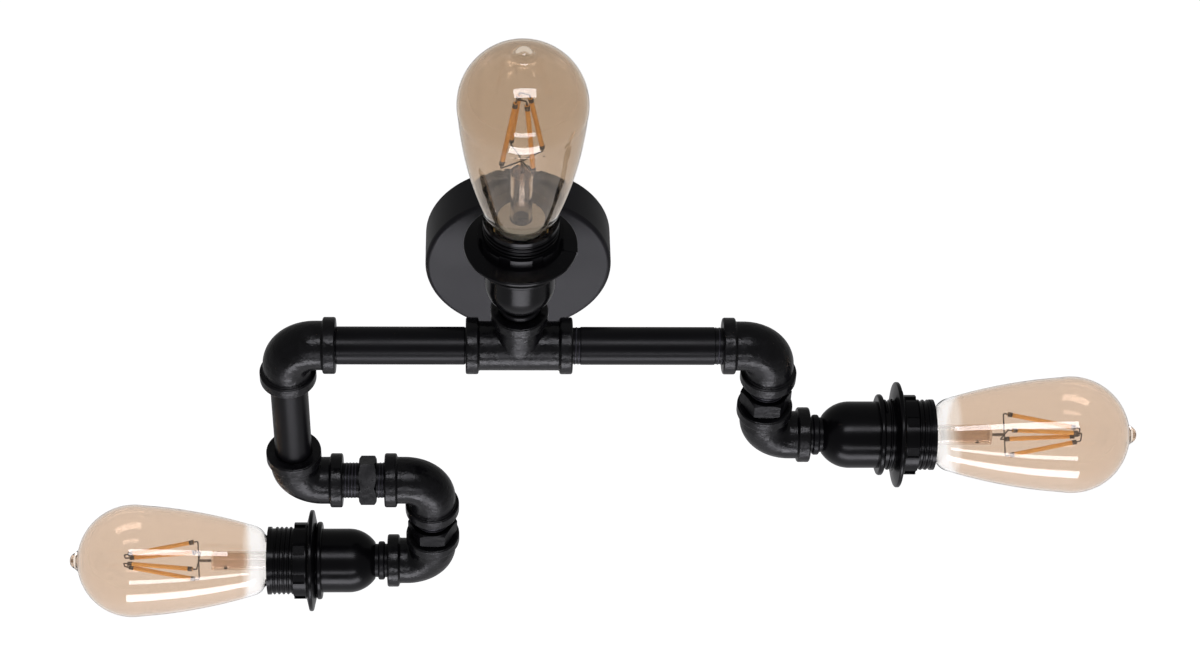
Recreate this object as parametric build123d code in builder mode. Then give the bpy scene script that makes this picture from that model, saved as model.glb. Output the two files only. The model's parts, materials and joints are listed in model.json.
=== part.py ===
from build123d import *
import os
from dataclasses import dataclass
from math import cos, radians, sin, sqrt, tan

# Industrial wall light: a round canopy carries a four-way tee on a short stem.
# One lamp stands on the tee, and two arms of pipe and elbows carry a lamp each.
# The origin is on the wall behind the canopy's centre. X runs along the arms,
# -Y points out of the wall into the room, +Z is up. Sizes are in millimetres.

# Pipe and threads
pipe_od = 20.0
pipe_bore = 16.0
thread_od = 19.2
thread_play = 0.05
thread_grip = 12.0
shown_thread = 4.0
shoulder_gap = 0.3

# Cast fittings: beaded mouths on a round body
body_od = 26.0
branch_step = 0.5
bead_height = 2.0
bead_width = 6.8
bead_round = 1.1
bead_cove = 0.8
socket_depth = 12.5
mouth_chamfer = 0.6
fitting_bore = 16.0
branch_bore = 15.0
elbow_reach = 26.0
elbow_bend = 15.0
tee_reach = 28.0

# Hex nipples between elbows
hex_flats = 24.0
hex_width = 9.5
hex_chamfer_angle = 30.0
nipple_bore = 14.0
run_neck_long = 9.0
run_neck_short = 4.5
drop_neck_long = 9.0
drop_neck_short = 1.5

# Layout of the arms
stand_off = 82.0
left_reach = 122.0
right_reach = 133.0
left_drop = 111.0

# Canopy and the stem that comes out of it
canopy_od = 100.0
canopy_depth = 25.0
canopy_wall = 1.2
canopy_round = 2.5
spigot_od = 16.0
spigot_length = 12.0
stem_bore = 13.0
nut_flats = 22.0
nut_height = 5.0

# Bracket on the wall, with ears for the canopy's side screws
bracket_sheet = 1.5
strap_width = 20.0
ear_gap = 1.8
ear_height = 18.0
bracket_bend = 1.0
slot_spacing = 64.0
slot_length = 14.0
slot_width = 4.5
cable_hole = 10.0
cable_hole_x = 18.0
tab_width = 24.0
tab_length = 26.0
screw_od = 4.0
screw_length = 9.0
screw_depth = 12.0
screw_slot_width = 0.8
screw_slot_depth = 1.2
screw_clearance = 0.2

# Terminal block on the bracket's tab
block_width = 20.0
block_height = 16.0
block_thickness = 12.0
block_drop = 17.0
block_ways = 3
entry_depth = 4.0
post_od = 4.4
post_depth = 3.0
block_round = 1.2
entry_play = 0.1

# Lamp flex
flex_od = 3.6
flex_pitch = 3.9
flex_split_gap = 0.2
flex_bend = 6.0
flex_turn = 8.0

# Lampholder, measured along its axis from the fitting's mouth
bush_collar_length = 1.5
bush_ring_od = 22.0
bush_ring_width = 3.8
bush_ring_round = 1.2
bush_neck_od = 19.0
bush_neck_length = 1.7
stub_od = 10.0
stub_length = 7.0
flex_passage = 6.4
cap_od = 36.4
cap_top_od = 20.8
cap_wall = 2.2
cap_height = 17.5
cap_rim = 2.5
skirt_neck_od = 31.4
skirt_neck_length = 4.5
skirt_body_length = 12.5
rim_od = 44.3
rim_width = 3.0
rim_round = 1.2
holder_thread_od = 38.7
holder_thread_root = 36.8
holder_thread_length = 26.0
lip_width = 2.0
skirt_bore = 30.4
ledge_bore = 27.8
ledge_width = 2.0
insert_pocket = 29.2
insert_pocket_depth = 10.0
insert_play = 0.1
insert_flange_width = 5.0
insert_body_length = 6.0
mouth_bore = 34.0
mouth_depth = 7.0
shell_od = 27.5
shell_bore = 26.7
shell_length = 24.0
contact_od = 8.0
contact_height = 0.9

# Shade ring on the lampholder's outer thread
ring_bore = 39.2
flange_od = 57.7
flange_base_od = 42.0
flange_base_width = 5.5
flange_edge_width = 2.0
flange_edge_round = 0.8
collar_od = 43.6
collar_length = 7.1
grip_count = 8
grip_width = 6.0
grip_depth = 1.2
grip_land = 0.6
ring_gap = 0.3
ring_offset = 5.1

# Screw-in bulb
base_od = 25.2
base_wall = 0.4
base_length = 22.5
base_floor_bore = 12.0
contact_gap = 0.3
pip_od = 9.0
pip_height = 0.8
cone_foot_od = 11.0
cone_od = 23.0
cone_height = 3.3
cone_gap = 0.2
glass_wall = 1.0
glass_neck_play = 0.1
glass_neck_depth = 7.0
flare_od = 31.0
flare_rise = 6.0
shoulder_od = 39.6
shoulder_rise = 11.5
bulb_od = 64.0
bulb_length = 116.5
bulb_slope = 9.7
nub_od = 15.0
nub_tip_od = 7.0
nub_height = 5.2
nub_hollow = 3.0
stem_od = 11.0
stem_wall = 1.2
stem_rise = 36.0
stem_floor = 1.5
exhaust_bore = 2.0
exhaust_drop = 8.0

# Filament cage inside the bulb
filament_od = 2.4
filament_rise = 46.0
filament_length = 38.0
cage_foot_od = 23.0
cage_top_od = 8.0
filament_count = 4
cage_turn = 28.0
wire_od = 0.8
post_wire_od = 1.6
wire_bend = 0.8
wire_lead = 2.4

LEFT = Vector(-1, 0, 0)
RIGHT = Vector(1, 0, 0)
UP = Vector(0, 0, 1)
DOWN = Vector(0, 0, -1)
OUT = Vector(0, -1, 0)
BACK = Vector(0, 1, 0)

# Places worked out from the sizes above
branch_od = body_od - 2 * branch_step
ear_span = canopy_od - 2 * (canopy_wall + ear_gap)
run_gap = run_neck_long + hex_width + run_neck_short
drop_gap = drop_neck_long + hex_width + drop_neck_short
lamp_drop = 2 * elbow_reach + drop_gap
inner_run = 2 * elbow_reach + run_gap

wall_centre = Vector(0, 0, 0)
tee_centre = OUT * stand_off
left_upper_corner = tee_centre + LEFT * left_reach
left_lower_corner = left_upper_corner + DOWN * left_drop
left_inner_corner = left_lower_corner + RIGHT * inner_run
left_lamp_corner = left_inner_corner + DOWN * lamp_drop
right_upper_corner = tee_centre + RIGHT * right_reach
right_lamp_corner = right_upper_corner + DOWN * lamp_drop

# Heights along a lampholder's axis
cap_start = bush_collar_length + bush_ring_width + bush_neck_length
skirt_start = cap_start + cap_height
rim_start = skirt_start + skirt_body_length
thread_start = rim_start + rim_width
lip_start = thread_start + holder_thread_length
holder_end = lip_start + lip_width
pocket_start = skirt_start - skirt_neck_length
ledge_start = pocket_start + insert_pocket_depth
insert_start = ledge_start - insert_flange_width
shell_start = ledge_start + insert_body_length
pip_start = shell_start + contact_height + contact_gap
base_start = pip_start + pip_height + cone_height + cone_gap
base_end = base_start + base_length


@dataclass
class Lamp:
    """One lamp: its fitting's mouth, the way it points and where its shade ring sits on the thread."""
    name: str
    mouth: Vector
    along: Vector
    ring_start: float


lamps = [
    Lamp("left", left_lamp_corner + LEFT * elbow_reach, LEFT, thread_start + ring_gap),
    Lamp("middle", tee_centre + UP * tee_reach, UP, thread_start + ring_gap + ring_offset),
    Lamp("right", right_lamp_corner + RIGHT * elbow_reach, RIGHT, thread_start + ring_gap + ring_offset),
]

os.makedirs("parts", exist_ok=True)


def save(piece, name, place=Plane.XY):
    """Put a finished piece at its place on the light, label it and write it under its name."""
    placed = piece.part.moved(place.location)
    placed.label = name
    export_step(placed, f"parts/{name}.step")


def turned(*points):
    """Closed profile of (radius, height) points, to be turned about Z."""
    with BuildSketch(Plane.XZ) as profile:
        with BuildLine():
            Polyline(*points, close=True)
        make_face()
    return profile.sketch


def cast_leg(leg_od, length):
    """Profile of a fitting's leg, down from its mouth: a rounded bead, a cove and the round body."""
    bead_r = body_od / 2 + bead_height
    body_r = leg_od / 2
    with BuildSketch(Plane.XZ) as leg:
        with BuildLine():
            Polyline(
                (0, 0), (bead_r, 0), (bead_r, -bead_width), (body_r, -bead_width),
                (body_r, -length), (0, -length), close=True,
            )
        make_face()
        inner_corner = leg.vertices().group_by(Axis.X)[1].sort_by(Axis.Y)[-1]
        fillet(inner_corner, bead_cove)
        fillet(leg.vertices().group_by(Axis.X)[-1], bead_round)
    return leg.sketch


def socket():
    """Profile of the threaded socket in a mouth, with its lead-in chamfer."""
    socket_r = thread_od / 2 + thread_play
    return turned(
        (0, 0), (socket_r + mouth_chamfer, 0), (socket_r, -mouth_chamfer),
        (socket_r, -socket_depth), (0, -socket_depth),
    )


def at_mouth(profile, reach, way):
    """Profile moved out to a mouth that faces the given way, and the axis to turn it about."""
    mouth = Plane(way * reach, z_dir=way)
    return profile.moved(mouth.location), Axis(mouth.origin, way)


def pipe(name, mouth_in, mouth_out, shown_in, shown_out):
    """Pipe between two mouths, with a lower threaded length at each end."""
    along = (mouth_out - mouth_in).normalized()
    length = (mouth_out - mouth_in).length
    bore_r = pipe_bore / 2
    thread_r = thread_od / 2
    pipe_r = pipe_od / 2
    step = pipe_r - thread_r
    with BuildPart() as tube:
        revolve(turned(
            (bore_r, -thread_grip), (thread_r, -thread_grip), (thread_r, shown_in), (pipe_r, shown_in + step),
            (pipe_r, length - shown_out - step), (thread_r, length - shown_out),
            (thread_r, length + thread_grip), (bore_r, length + thread_grip),
        ), axis=Axis.Z)
    save(tube, name, Plane(mouth_in, z_dir=along))


def hexagon(flats, width):
    """Hexagon of a nut or nipple from Z = 0 up, with its corners turned off at both faces."""
    corner_r = flats / sqrt(3)
    slope = (corner_r - flats / 2) * tan(radians(hex_chamfer_angle))
    with BuildPart(mode=Mode.PRIVATE) as block:
        with BuildSketch():
            RegularPolygon(radius=corner_r, side_count=6)
        extrude(amount=width)
        revolve(turned(
            (0, 0), (flats / 2, 0), (corner_r, slope),
            (corner_r, width - slope), (flats / 2, width), (0, width),
        ), axis=Axis.Z, mode=Mode.INTERSECT)
    return block.part


def hex_nipple(name, mouth, along, first_neck, last_neck):
    """Short pipe piece with threads at both ends and a hexagon between them."""
    length = first_neck + hex_width + last_neck
    block = hexagon(hex_flats, hex_width).moved(Location((0, 0, first_neck)))
    with BuildPart() as nipple:
        add(block)
        revolve(turned(
            (0, -thread_grip), (thread_od / 2, -thread_grip),
            (thread_od / 2, length + thread_grip), (0, length + thread_grip),
        ), axis=Axis.Z)
        revolve(turned(
            (0, -thread_grip), (nipple_bore / 2, -thread_grip),
            (nipple_bore / 2, length + thread_grip), (0, length + thread_grip),
        ), axis=Axis.Z, mode=Mode.SUBTRACT)
    save(nipple, name, Plane(mouth, z_dir=along))


def flex(name, points, radius):
    """Length of round flex along straight runs and tangent bends."""
    with BuildPart() as lead:
        with BuildLine() as route:
            FilletPolyline(*points, radius=radius)
        with BuildSketch(Plane(points[0], z_dir=points[1] - points[0])) as section:
            Circle(flex_od / 2)
        sweep(section.sketch, path=route.wire())
    save(lead, name)


# Wall pieces are drawn with Z as the way out of the wall, and Y up
off_the_wall = Plane(wall_centre, x_dir=RIGHT, z_dir=OUT)

# Canopy: a plain round cup, with holes for the stem and two side screws
with BuildPart() as canopy:
    with BuildSketch(Plane.YZ) as cup:
        with BuildLine():
            Polyline(
                (canopy_od / 2 - canopy_wall, 0),
                (canopy_od / 2, 0),
                (canopy_od / 2, canopy_depth),
                (spigot_od / 2 + thread_play, canopy_depth),
                (spigot_od / 2 + thread_play, canopy_depth - canopy_wall),
                (canopy_od / 2 - canopy_wall, canopy_depth - canopy_wall),
                close=True,
            )
        make_face()
        inner_corner = cup.vertices().group_by(Axis.Y)[1].sort_by(Axis.X)[-1]
        fillet(inner_corner, canopy_round - canopy_wall)
        front_corner = cup.vertices().group_by(Axis.X)[-1].sort_by(Axis.Y)[-1]
        fillet(front_corner, canopy_round)
    revolve(cup.sketch, axis=Axis.Z)
    with Locations((canopy_od / 2, 0, screw_depth), (-canopy_od / 2, 0, screw_depth)):
        Cylinder(screw_od / 2 + screw_clearance, 2 * canopy_round, rotation=(0, 90, 0), mode=Mode.SUBTRACT)
save(canopy, "canopy", off_the_wall)

# Bracket: a slotted strap with bent ears, and a tab below it for the terminal block
with BuildPart() as wall_bracket:
    with BuildSketch():
        Rectangle(ear_span, strap_width)
        with Locations((0, -(strap_width + tab_length) / 2)):
            Rectangle(tab_width, tab_length)
        with GridLocations(slot_spacing, 0, 2, 1):
            SlotOverall(slot_length, slot_width, mode=Mode.SUBTRACT)
        with Locations((cable_hole_x, 0)):
            Circle(cable_hole / 2, mode=Mode.SUBTRACT)
    extrude(amount=bracket_sheet)
    with BuildSketch():
        with GridLocations(ear_span - bracket_sheet, 0, 2, 1):
            Rectangle(bracket_sheet, strap_width)
    extrude(amount=ear_height)
    bends = wall_bracket.edges().filter_by(Axis.Y).group_by(Axis.Z)[0]
    fillet([bends.sort_by(Axis.X)[0], bends.sort_by(Axis.X)[-1]], bracket_bend)
    with Locations((ear_span / 2, 0, screw_depth), (-ear_span / 2, 0, screw_depth)):
        Cylinder(screw_od / 2 + thread_play, 4 * bracket_sheet, rotation=(0, 90, 0), mode=Mode.SUBTRACT)
save(wall_bracket, "wall_bracket", off_the_wall)

# Side screws: slotted, flush with the canopy's wall
with BuildPart() as canopy_side_screws:
    for side in (-1, 1):
        head = Plane((side * canopy_od / 2, 0, screw_depth), x_dir=(0, 1, 0), z_dir=(-side, 0, 0))
        with BuildSketch(head):
            Circle(screw_od / 2)
        extrude(amount=screw_length)
        with BuildSketch(head):
            Rectangle(screw_od, screw_slot_width)
        extrude(amount=screw_slot_depth, mode=Mode.SUBTRACT)
save(canopy_side_screws, "canopy_side_screws", off_the_wall)

# Terminal block on the bracket's tab: wire entries in its top and screw posts in its front
with BuildPart() as terminal_block:
    block_face = bracket_sheet + block_thickness
    block_top = Plane((0, -block_drop, block_face - block_thickness / 2), x_dir=(1, 0, 0), z_dir=(0, -1, 0))
    with BuildSketch(block_top):
        Rectangle(block_width, block_thickness)
    extrude(amount=block_height)
    fillet(terminal_block.edges().filter_by(Axis.Y).group_by(Axis.Z)[-1], block_round)
    with BuildSketch(block_top):
        with GridLocations(flex_pitch, 0, block_ways, 1):
            Circle(flex_od / 2 + entry_play)
    extrude(amount=entry_depth, mode=Mode.SUBTRACT)
    block_front = Plane((0, -block_drop - block_height / 2, block_face), z_dir=(0, 0, -1))
    with BuildSketch(block_front):
        with GridLocations(block_width / block_ways, block_height / 2, block_ways, 2):
            Circle(post_od / 2)
    extrude(amount=post_depth, mode=Mode.SUBTRACT)
save(terminal_block, "terminal_block", off_the_wall)

# Stem: a spigot through the canopy's face, a shoulder on it and a thread into the tee
stem_end = stand_off - tee_reach
with BuildPart() as stem_pipe:
    revolve(turned(
        (stem_bore / 2, canopy_depth - spigot_length),
        (spigot_od / 2, canopy_depth - spigot_length),
        (spigot_od / 2, canopy_depth),
        (pipe_od / 2, canopy_depth),
        (pipe_od / 2, stem_end - shoulder_gap),
        (thread_od / 2, stem_end - shoulder_gap),
        (thread_od / 2, stem_end + thread_grip),
        (stem_bore / 2, stem_end + thread_grip),
    ), axis=Axis.Z)
save(stem_pipe, "stem_pipe", off_the_wall)

# Lock nut inside the canopy, on the stem's spigot
nut_block = hexagon(nut_flats, nut_height)
with BuildPart() as stem_lock_nut:
    add(nut_block)
    with BuildSketch():
        Circle(spigot_od / 2 + thread_play)
    extrude(amount=nut_height, mode=Mode.SUBTRACT)
save(stem_lock_nut, "stem_lock_nut", Plane(OUT * (canopy_depth - canopy_wall), x_dir=RIGHT, z_dir=BACK))

# Four-way tee: mouths to both arms, up to the middle lamp and back to the stem
tee_legs = (
    (LEFT, body_od, fitting_bore), (RIGHT, body_od, fitting_bore),
    (UP, branch_od, branch_bore), (BACK, branch_od, branch_bore),
)
with BuildPart() as cross_tee:
    for way, leg_od, leg_bore in tee_legs:
        leg, leg_axis = at_mouth(cast_leg(leg_od, tee_reach), tee_reach, way)
        revolve(leg, axis=leg_axis)
    for way, leg_od, leg_bore in tee_legs:
        with BuildSketch(Plane((0, 0, 0), z_dir=way)):
            Circle(leg_bore / 2)
        extrude(amount=tee_reach, mode=Mode.SUBTRACT)
        thread, thread_axis = at_mouth(socket(), tee_reach, way)
        revolve(thread, axis=thread_axis, mode=Mode.SUBTRACT)
save(cross_tee, "cross_tee", Plane(tee_centre))

# Pipes of the two arms
pipe(
    "left_pipe", tee_centre + LEFT * tee_reach, left_upper_corner + RIGHT * elbow_reach,
    shoulder_gap, shoulder_gap,
)
pipe(
    "right_pipe", tee_centre + RIGHT * tee_reach, right_upper_corner + LEFT * elbow_reach,
    shown_thread, shown_thread,
)
pipe(
    "left_drop_pipe", left_upper_corner + DOWN * elbow_reach, left_lower_corner + UP * elbow_reach,
    shown_thread, shoulder_gap,
)

# Beaded elbow with its corner at the origin and its legs along X and Z
with BuildPart() as elbow:
    for way in (RIGHT, UP):
        leg, leg_axis = at_mouth(cast_leg(body_od, elbow_reach - elbow_bend), elbow_reach, way)
        revolve(leg, axis=leg_axis)
    with BuildLine() as bend:
        TangentArc((elbow_bend, 0, 0), (0, 0, elbow_bend), tangent=LEFT)
    with BuildSketch(Plane((elbow_bend, 0, 0), z_dir=LEFT)) as body:
        Circle(body_od / 2)
    sweep(body.sketch, path=bend.wire())
    with BuildLine() as waterway:
        FilletPolyline((elbow_reach, 0, 0), (0, 0, 0), (0, 0, elbow_reach), radius=elbow_bend)
    with BuildSketch(Plane((elbow_reach, 0, 0), z_dir=LEFT)) as bore:
        Circle(fitting_bore / 2)
    sweep(bore.sketch, path=waterway.wire(), mode=Mode.SUBTRACT)
    for way in (RIGHT, UP):
        thread, thread_axis = at_mouth(socket(), elbow_reach, way)
        revolve(thread, axis=thread_axis, mode=Mode.SUBTRACT)

save(elbow, "left_upper_elbow", Plane(left_upper_corner, x_dir=RIGHT, z_dir=DOWN))
save(elbow, "left_lower_elbow", Plane(left_lower_corner, x_dir=RIGHT, z_dir=UP))
save(elbow, "left_inner_elbow", Plane(left_inner_corner, x_dir=LEFT, z_dir=DOWN))
save(elbow, "left_lamp_elbow", Plane(left_lamp_corner, x_dir=LEFT, z_dir=UP))
save(elbow, "right_upper_elbow", Plane(right_upper_corner, x_dir=LEFT, z_dir=DOWN))
save(elbow, "right_lamp_elbow", Plane(right_lamp_corner, x_dir=RIGHT, z_dir=UP))

# Hex nipples between the elbows
left_run_mouth = left_lower_corner + RIGHT * elbow_reach
left_lamp_mouth = left_inner_corner + DOWN * elbow_reach
right_lamp_mouth = right_upper_corner + DOWN * elbow_reach
hex_nipple("left_run_nipple", left_run_mouth, RIGHT, run_neck_long, run_neck_short)
hex_nipple("left_lamp_nipple", left_lamp_mouth, DOWN, drop_neck_long, drop_neck_short)
hex_nipple("right_lamp_nipple", right_lamp_mouth, DOWN, drop_neck_long, drop_neck_short)

# Flex from the terminal block through the stem and the arms, split where a fitting turns
flex_rise = OUT * (bracket_sheet + block_thickness / 2)
flex_foot = flex_rise + DOWN * (block_drop + entry_depth)
lamp_turn = DOWN * (lamp_drop - elbow_reach)
flex("left_feed_flex", [
    flex_foot + LEFT * flex_pitch, flex_rise + LEFT * flex_pitch,
    tee_centre + LEFT * flex_pitch, tee_centre + LEFT * tee_reach,
], [flex_bend, flex_turn])
flex("left_arm_flex", [
    tee_centre + LEFT * (tee_reach + flex_split_gap), left_upper_corner, left_lower_corner,
    left_inner_corner, left_inner_corner + lamp_turn,
], elbow_bend)
flex("left_lamp_flex", [
    left_inner_corner + lamp_turn + DOWN * flex_split_gap, left_lamp_corner,
    left_lamp_corner + LEFT * (elbow_reach + insert_start),
], elbow_bend)
flex("right_feed_flex", [
    flex_foot + RIGHT * flex_pitch, flex_rise + RIGHT * flex_pitch,
    tee_centre + RIGHT * flex_pitch, tee_centre + RIGHT * tee_reach,
], [flex_bend, flex_turn])
flex("right_arm_flex", [
    tee_centre + RIGHT * (tee_reach + flex_split_gap), right_upper_corner, right_upper_corner + lamp_turn,
], elbow_bend)
flex("right_lamp_flex", [
    right_upper_corner + lamp_turn + DOWN * flex_split_gap, right_lamp_corner,
    right_lamp_corner + RIGHT * (elbow_reach + insert_start),
], elbow_bend)
flex("middle_flex", [
    flex_foot, flex_rise, tee_centre, tee_centre + UP * (tee_reach + insert_start),
], [flex_bend, flex_turn])

# Lamp pieces stand on a mouth at the origin and point up

# Reducing bush: pipe thread, grip ring and the thin stub that the holder screws on
with BuildPart() as holder_bush:
    ring_end = bush_collar_length + bush_ring_width
    with BuildSketch(Plane.XZ) as bush_profile:
        with BuildLine():
            Polyline(
                (flex_passage / 2, -thread_grip),
                (thread_od / 2, -thread_grip),
                (thread_od / 2, bush_collar_length),
                (bush_ring_od / 2, bush_collar_length),
                (bush_ring_od / 2, ring_end),
                (bush_neck_od / 2, ring_end),
                (bush_neck_od / 2, cap_start),
                (stub_od / 2, cap_start),
                (stub_od / 2, cap_start + stub_length),
                (flex_passage / 2, cap_start + stub_length),
                close=True,
            )
        make_face()
        fillet(bush_profile.vertices().group_by(Axis.X)[-1], bush_ring_round)
    revolve(bush_profile.sketch, axis=Axis.Z)

# Domed cap of the lampholder, hollow, with a hole for the bush's stub
with BuildPart() as holder_cap:
    cap_r = cap_od / 2
    hollow_r = cap_r - cap_wall
    top_r = cap_top_od / 2
    stub_hole_r = stub_od / 2 + thread_play
    dome_foot = skirt_start - cap_rim
    dome_rise = dome_foot - cap_start
    dome_r = (dome_rise ** 2 + (cap_r - top_r) ** 2) / (2 * (cap_r - top_r))
    hollow_top = cap_start + cap_wall
    hollow_dome_r = dome_r - cap_wall
    hollow_top_r = hollow_r - hollow_dome_r + sqrt(hollow_dome_r ** 2 - (dome_foot - hollow_top) ** 2)
    with BuildSketch(Plane.XZ) as cap_profile:
        with BuildLine():
            Polyline((stub_hole_r, hollow_top), (stub_hole_r, cap_start), (top_r, cap_start))
            TangentArc((cap_r, dome_foot), (top_r, cap_start), tangent=(0, -1))
            Polyline((cap_r, dome_foot), (cap_r, skirt_start), (hollow_r, skirt_start), (hollow_r, dome_foot))
            TangentArc((hollow_r, dome_foot), (hollow_top_r, hollow_top), tangent=(0, -1))
            Line((hollow_top_r, hollow_top), (stub_hole_r, hollow_top))
        make_face()
    revolve(cap_profile.sketch, axis=Axis.Z)

# Skirt of the lampholder: neck inside the cap, fixed rim, outer thread and front lip
with BuildPart() as holder_skirt:
    with BuildSketch(Plane.XZ) as skirt_profile:
        with BuildLine():
            Polyline(
                (insert_pocket / 2, pocket_start),
                (skirt_neck_od / 2, pocket_start),
                (skirt_neck_od / 2, skirt_start),
                (cap_od / 2, skirt_start),
                (cap_od / 2, rim_start),
                (rim_od / 2, rim_start),
                (rim_od / 2, thread_start),
                (holder_thread_root / 2, thread_start),
                (holder_thread_root / 2, lip_start),
                (holder_thread_od / 2, lip_start),
                (holder_thread_od / 2, holder_end),
                (mouth_bore / 2, holder_end),
                (skirt_bore / 2, holder_end - mouth_depth),
                (skirt_bore / 2, ledge_start + ledge_width),
                (ledge_bore / 2, ledge_start + ledge_width),
                (ledge_bore / 2, ledge_start),
                (insert_pocket / 2, ledge_start),
                close=True,
            )
        make_face()
        fillet(skirt_profile.vertices().group_by(Axis.X)[-1], rim_round)
    revolve(skirt_profile.sketch, axis=Axis.Z)

# Ceramic insert: its flange sits on the skirt's ledge and its body passes the ledge
with BuildPart() as holder_insert:
    insert_flange_r = insert_pocket / 2 - insert_play
    insert_body_r = ledge_bore / 2 - insert_play
    revolve(turned(
        (0, insert_start), (insert_flange_r, insert_start), (insert_flange_r, ledge_start),
        (insert_body_r, ledge_start), (insert_body_r, shell_start), (0, shell_start),
    ), axis=Axis.Z)

# Screw shell and centre contact, both on the insert's face
with BuildPart() as holder_contacts:
    shell_end = shell_start + shell_length
    contact_end = shell_start + contact_height
    revolve(turned(
        (shell_bore / 2, shell_start), (shell_od / 2, shell_start),
        (shell_od / 2, shell_end), (shell_bore / 2, shell_end),
    ), axis=Axis.Z)
    revolve(turned(
        (0, shell_start), (contact_od / 2, shell_start), (contact_od / 2, contact_end), (0, contact_end),
    ), axis=Axis.Z)

# Shade ring, from its back up: a tapered flange, then a notched grip collar on the bulb's side
with BuildPart() as shade_ring:
    collar_start = flange_base_width + grip_land
    edge_inset = (flange_base_width - flange_edge_width) / 2
    with BuildSketch(Plane.XZ) as flange_profile:
        with BuildLine():
            Polyline(
                (ring_bore / 2, 0),
                (flange_base_od / 2, 0),
                (flange_od / 2, edge_inset),
                (flange_od / 2, flange_base_width - edge_inset),
                (collar_od / 2, flange_base_width),
                (collar_od / 2, collar_start),
                (ring_bore / 2, collar_start),
                close=True,
            )
        make_face()
        fillet(flange_profile.vertices().group_by(Axis.X)[-1], flange_edge_round)
    revolve(flange_profile.sketch, axis=Axis.Z)
    with BuildSketch(Plane.XY.offset(collar_start)):
        Circle(collar_od / 2)
        Circle(ring_bore / 2, mode=Mode.SUBTRACT)
        with PolarLocations(collar_od / 2, grip_count, start_angle=180 / grip_count):
            Rectangle(2 * grip_depth, grip_width, mode=Mode.SUBTRACT)
    extrude(amount=collar_length - grip_land)

# Screw base of the bulb: a thin cup with an open floor for the contact
with BuildPart() as bulb_base:
    base_r = base_od / 2
    base_inner_r = base_r - base_wall
    floor_r = base_floor_bore / 2
    revolve(turned(
        (floor_r, base_start), (base_r, base_start), (base_r, base_end), (base_inner_r, base_end),
        (base_inner_r, base_start + base_wall), (floor_r, base_start + base_wall),
    ), axis=Axis.Z)

# Insulating cone under the base, with the centre contact's pip
with BuildPart() as bulb_contact:
    cone_start = pip_start + pip_height
    cone_end = cone_start + cone_height
    revolve(turned(
        (0, pip_start), (pip_od / 2, pip_start), (pip_od / 2, cone_start), (cone_foot_od / 2, cone_start),
        (cone_od / 2, cone_end), (0, cone_end),
    ), axis=Axis.Z)

# Outline of the bulb's glass
neck_r = base_inner_r - glass_neck_play
neck_start = base_end - glass_neck_depth
stem_top = base_end + stem_rise
bulb_tip = base_end + bulb_length
crown_r = bulb_od / 2
nub_start = bulb_tip - nub_height
crown_centre = nub_start - sqrt(crown_r ** 2 - (nub_od / 2) ** 2)


def envelope(inset, start):
    """Draw the bulb's side from a start in its neck up to its nub, an inset inside the outer face."""
    wall_r = crown_r - inset
    lean = radians(bulb_slope)
    half = radians(45)
    neck = Line((neck_r - inset, start), (neck_r - inset, base_end))
    flare = TangentArc(neck @ 1, (flare_od / 2 - inset, base_end + flare_rise), tangent=neck % 1)
    shoulder = TangentArc(flare @ 1, (shoulder_od / 2 - inset, base_end + shoulder_rise), tangent=flare % 1)
    side_end = (wall_r * cos(lean), crown_centre - wall_r * sin(lean))
    side = TangentArc(shoulder @ 1, side_end, tangent=shoulder % 1)
    crown_end = (nub_od / 2, crown_centre + sqrt(wall_r ** 2 - (nub_od / 2) ** 2))
    ThreePointArc(side @ 1, (wall_r * cos(half), crown_centre + wall_r * sin(half)), crown_end)
    return crown_end


# Glass bulb with its tip nub, and the hollow stem sealed into its neck
with BuildPart() as bulb_glass:
    stem_r = stem_od / 2
    stem_bore_r = stem_r - stem_wall
    floor_top = neck_start + stem_floor
    with BuildSketch(Plane.XZ) as glass_profile:
        with BuildLine():
            nub_foot = envelope(0, neck_start)
            nub_side = (nub_tip_od / 2, bulb_tip - nub_height / 4)
            crown_lean = (-1, nub_od / bulb_od)
            Spline(nub_foot, nub_side, (0, bulb_tip), tangents=[crown_lean, (-1, 0)])
            hollow_foot = envelope(glass_wall, floor_top)
            hollow_tip = (0, hollow_foot[1] + nub_hollow)
            Spline(hollow_foot, hollow_tip, tangents=[crown_lean, (-1, 0)])
            Line((0, bulb_tip), hollow_tip)
            Polyline(
                (neck_r - glass_wall, floor_top), (stem_r, floor_top), (stem_r, stem_top), (0, stem_top),
                (0, stem_top - stem_wall), (stem_bore_r, stem_top - stem_wall), (stem_bore_r, neck_start),
                (neck_r, neck_start),
            )
        make_face()
    revolve(glass_profile.sketch, axis=Axis.Z)
    with Locations((0, stem_r, stem_top - exhaust_drop)):
        Cylinder(exhaust_bore / 2, 2 * stem_wall, rotation=(90, 0, 0), mode=Mode.SUBTRACT)

# Feet and tops of the filament sticks, spread evenly round the axis
cage_foot = base_end + filament_rise
cage_lean = (cage_foot_od - cage_top_od) / 2
cage_top = cage_foot + sqrt(filament_length ** 2 - cage_lean ** 2)
stick_ends = []
for number in range(filament_count):
    across = RIGHT.rotate(Axis.Z, cage_turn + 360 / filament_count * number)
    stick_ends.append((across * cage_foot_od / 2 + UP * cage_foot, across * cage_top_od / 2 + UP * cage_top))

# Filament sticks of the cage
with BuildPart() as bulb_filaments:
    for foot, top in stick_ends:
        with BuildSketch(Plane(foot, z_dir=top - foot)):
            Circle(filament_od / 2)
        extrude(amount=filament_length)

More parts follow.
